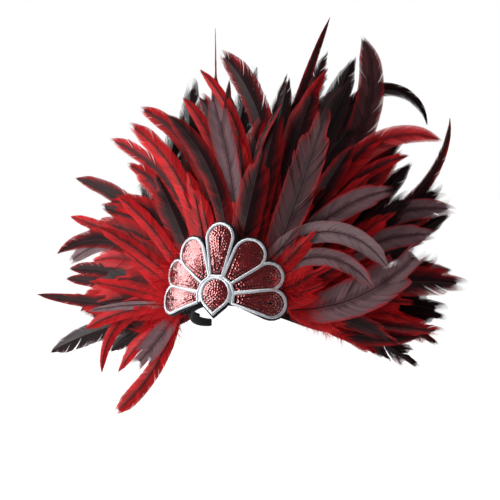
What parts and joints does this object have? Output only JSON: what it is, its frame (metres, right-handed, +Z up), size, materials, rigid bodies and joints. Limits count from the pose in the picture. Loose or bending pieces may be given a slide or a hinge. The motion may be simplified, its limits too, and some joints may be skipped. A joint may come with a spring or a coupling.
{
  "type": "feather headdress",
  "caption": "Carnival headdress: a wide fan of long red, plum and black dyed feathers on an ear-to-ear band, with a scalloped sequin applique over the brow.",
  "frame": {"origin": "middle of the head opening, level with the applique's lower point on the brow", "axes": "+Z up, the front of the head and the applique face -Y, the wearer's left is +X"},
  "size_m": [0.5539, 0.249, 0.4846],
  "materials": {
    "band_fabric": "black covered band, matt woven fabric",
    "feather_red": "dyed rooster feather, bright red with a soft sheen",
    "feather_edged": "dyed rooster feather, dark middle and red edge",
    "feather_plum": "dyed rooster feather seen from its matt plum underside",
    "feather_black": "dyed rooster feather, black with a dark red cast",
    "felt_black": "black felt, matt",
    "embroidery_silver": "silver-white satin stitch, padded",
    "sequin_red": "round cup sequins in rows, translucent red gloss"
  },
  "bodies": {
    "root": {"head_band": "band_fabric", "plume_front_row": "feather_red", "plume_second_row": "feather_edged", "plume_third_row": "feather_plum", "plume_rear_row": "feather_black", "applique_backing": "felt_black", "applique_border": "embroidery_silver", "sequins_top": "sequin_red", "sequins_upper_left": "sequin_red", "sequins_upper_right": "sequin_red", "sequins_mid_left": "sequin_red", "sequins_mid_right": "sequin_red", "sequins_low_left": "sequin_red", "sequins_low_right": "sequin_red", "sequins_arch": "sequin_red"}
  },
  "joints": []
}
